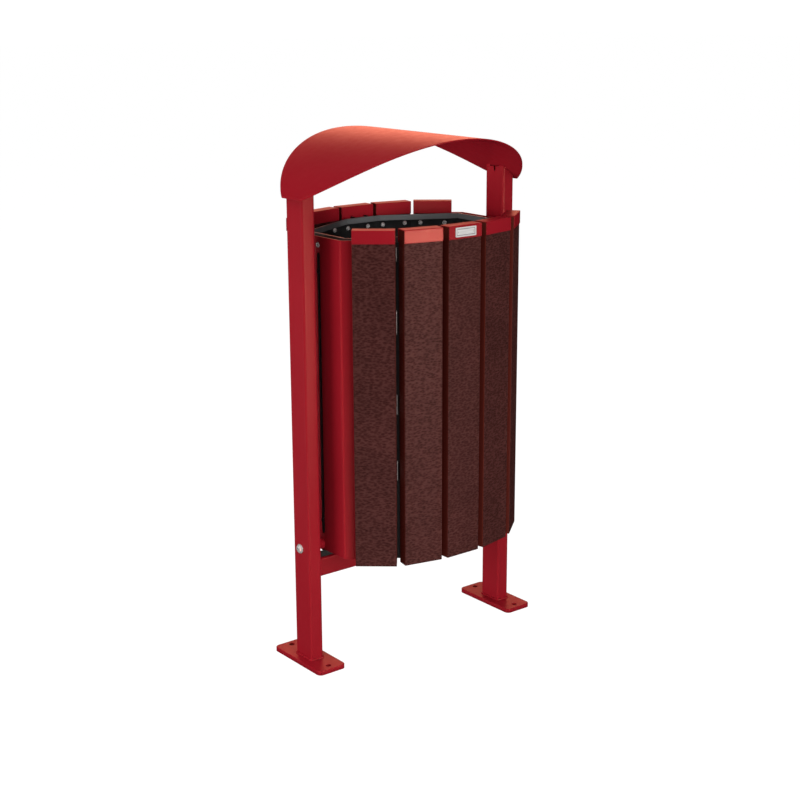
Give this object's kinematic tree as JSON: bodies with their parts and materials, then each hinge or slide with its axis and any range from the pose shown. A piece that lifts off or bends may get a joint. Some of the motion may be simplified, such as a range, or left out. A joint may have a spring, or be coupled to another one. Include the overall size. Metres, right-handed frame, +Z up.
{
  "type": "hooded litter bin",
  "caption": "Street bin for dog waste and litter: a slatted oval basket that tilts between two floor-bolted posts under a rolled sheet hood.",
  "frame": {"origin": "on the ground, midway between the two posts", "axes": "+Z up, X from the left post to the right post, the bin's front faces -Y"},
  "size_m": [0.624, 0.4115, 1.152],
  "materials": {
    "red_paint": "satin powder coat",
    "slat_board": "grained recycled-plastic board",
    "black_steel": "satin black powder coat",
    "grey_steel": "dark grey powder coat",
    "stainless_steel": "bright",
    "black_rubber": "matt",
    "badge_metal": "brushed, blank"
  },
  "bodies": {
    "stand": {"crossbar": "red_paint", "hood": "red_paint", "left_base_plate": "red_paint", "left_hood_tab": "red_paint", "left_pivot_bolt": "stainless_steel", "left_pivot_spacer": "red_paint", "left_post": "red_paint", "pivot_nuts": "stainless_steel", "right_base_plate": "red_paint", "right_hood_tab": "red_paint", "right_pivot_bolt": "stainless_steel", "right_pivot_spacer": "red_paint", "right_post": "red_paint", "rubber_buffer": "black_rubber"},
    "basket": {"badge_plate": "badge_metal", "basket_floor": "black_steel", "front_cap_1": "red_paint", "front_cap_2": "red_paint", "front_cap_3": "red_paint", "front_cap_4": "red_paint", "front_cap_5": "red_paint", "front_shell": "black_steel", "front_slat_1": "slat_board", "front_slat_2": "slat_board", "front_slat_3": "slat_board", "front_slat_4": "slat_board", "front_slat_5": "slat_board", "front_slat_screws": "stainless_steel", "left_latch_bush": "stainless_steel", "left_pivot_boss": "black_steel", "left_seam_strap": "black_steel", "left_side_channel": "red_paint", "rear_cap_1": "red_paint", "rear_cap_2": "red_paint", "rear_cap_3": "red_paint", "rear_cap_4": "red_paint", "rear_cap_5": "red_paint", "rear_shell": "black_steel", "rear_slat_1": "slat_board", "rear_slat_2": "slat_board", "rear_slat_3": "slat_board", "rear_slat_4": "slat_board", "rear_slat_5": "slat_board", "rear_slat_screws": "stainless_steel", "right_latch_bush": "stainless_steel", "right_pivot_boss": "black_steel", "right_seam_strap": "black_steel", "right_side_channel": "red_paint", "ring_hinge_pin": "stainless_steel", "ring_lugs": "black_steel", "strap_screws": "black_steel"},
    "left_latch": {"left_latch_pin": "stainless_steel"},
    "right_latch": {"right_latch_pin": "stainless_steel"},
    "bag_ring": {"bag_ring": "grey_steel"}
  },
  "joints": [
    {"name": "basket_tilt", "type": "hinge", "parent": "stand", "child": "basket", "pos_m": [0, 0.005, 0.265], "axis": [1, 0, 0], "range_deg": [0, 45]},
    {"name": "left_latch_slide", "type": "slide", "parent": "basket", "child": "left_latch", "axis": [-1, 0, 0], "range_m": [0, 0.034]},
    {"name": "right_latch_slide", "type": "slide", "parent": "basket", "child": "right_latch", "axis": [1, 0, 0], "range_m": [0, 0.034]},
    {"name": "bag_ring_lift", "type": "hinge", "parent": "basket", "child": "bag_ring", "pos_m": [0, 0.166, 0.945], "axis": [-1, 0, 0], "range_deg": [0, 30]}
  ]
}
